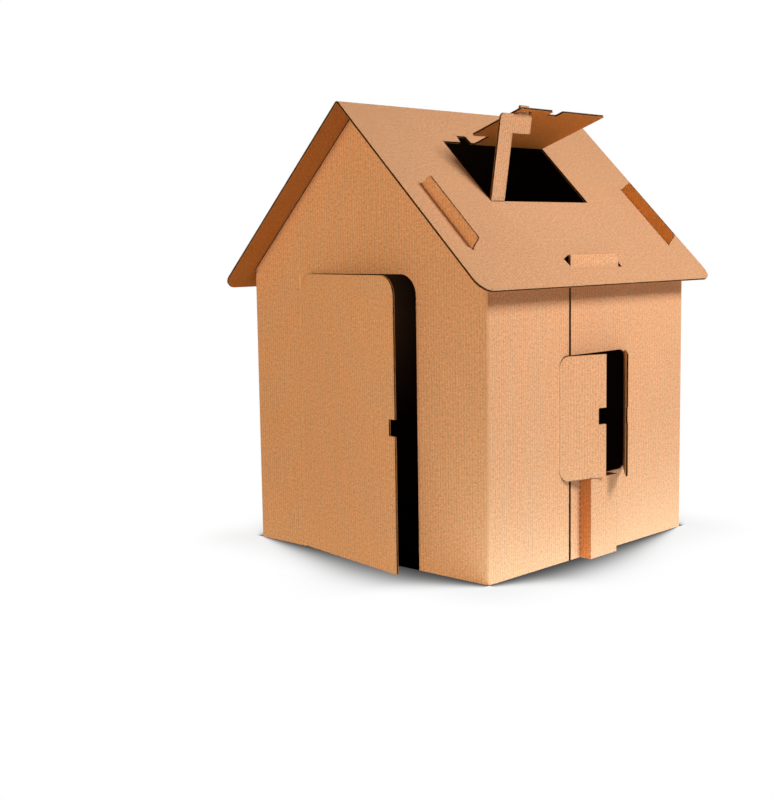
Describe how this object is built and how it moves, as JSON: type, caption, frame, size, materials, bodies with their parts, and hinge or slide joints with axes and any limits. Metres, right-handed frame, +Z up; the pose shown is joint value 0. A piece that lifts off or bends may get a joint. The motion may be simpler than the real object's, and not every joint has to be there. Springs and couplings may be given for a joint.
{
  "type": "cardboard playhouse",
  "caption": "Child's playhouse folded from corrugated board, with a door flap, a shuttered side window, tab-and-slot walls and a gabled roof with a propped hatch.",
  "frame": {"origin": "on the floor, in the middle of the four walls' outer faces", "axes": "+Z up, -Y out of the door gable, +X out of the window wall"},
  "size_m": [1.0504, 1.0982, 1.2697],
  "materials": {
    "kraft_board": "matt kraft liner over corrugated board"
  },
  "bodies": {
    "house": {"front_walls": "kraft_board", "rear_walls": "kraft_board", "roof": "kraft_board"},
    "door_flap": {"door": "kraft_board"},
    "left_flap": {"left_shutter": "kraft_board"},
    "right_flap": {"right_shutter": "kraft_board"},
    "hatch_flap": {"roof_hatch": "kraft_board"}
  },
  "joints": [
    {"name": "door_crease", "type": "hinge", "parent": "house", "child": "door_flap", "pos_m": [-0.25, -0.4683, 0], "axis": [0, 0, -1], "range_deg": [-10.3, 139.7]},
    {"name": "left_shutter_crease", "type": "hinge", "parent": "house", "child": "left_flap", "pos_m": [0.4503, -0.16, 0.401], "axis": [0, 0, -1], "range_deg": [-18, 132]},
    {"name": "right_shutter_crease", "type": "hinge", "parent": "house", "child": "right_flap", "pos_m": [0.4503, 0.16, 0.401], "axis": [0, 0, 1], "range_deg": [-36.5, 113.5]},
    {"name": "hatch_crease", "type": "hinge", "parent": "house", "child": "hatch_flap", "pos_m": [0.10204, -0.0075, 1.17189], "axis": [0, -1, 0], "range_deg": [0, 86]}
  ]
}
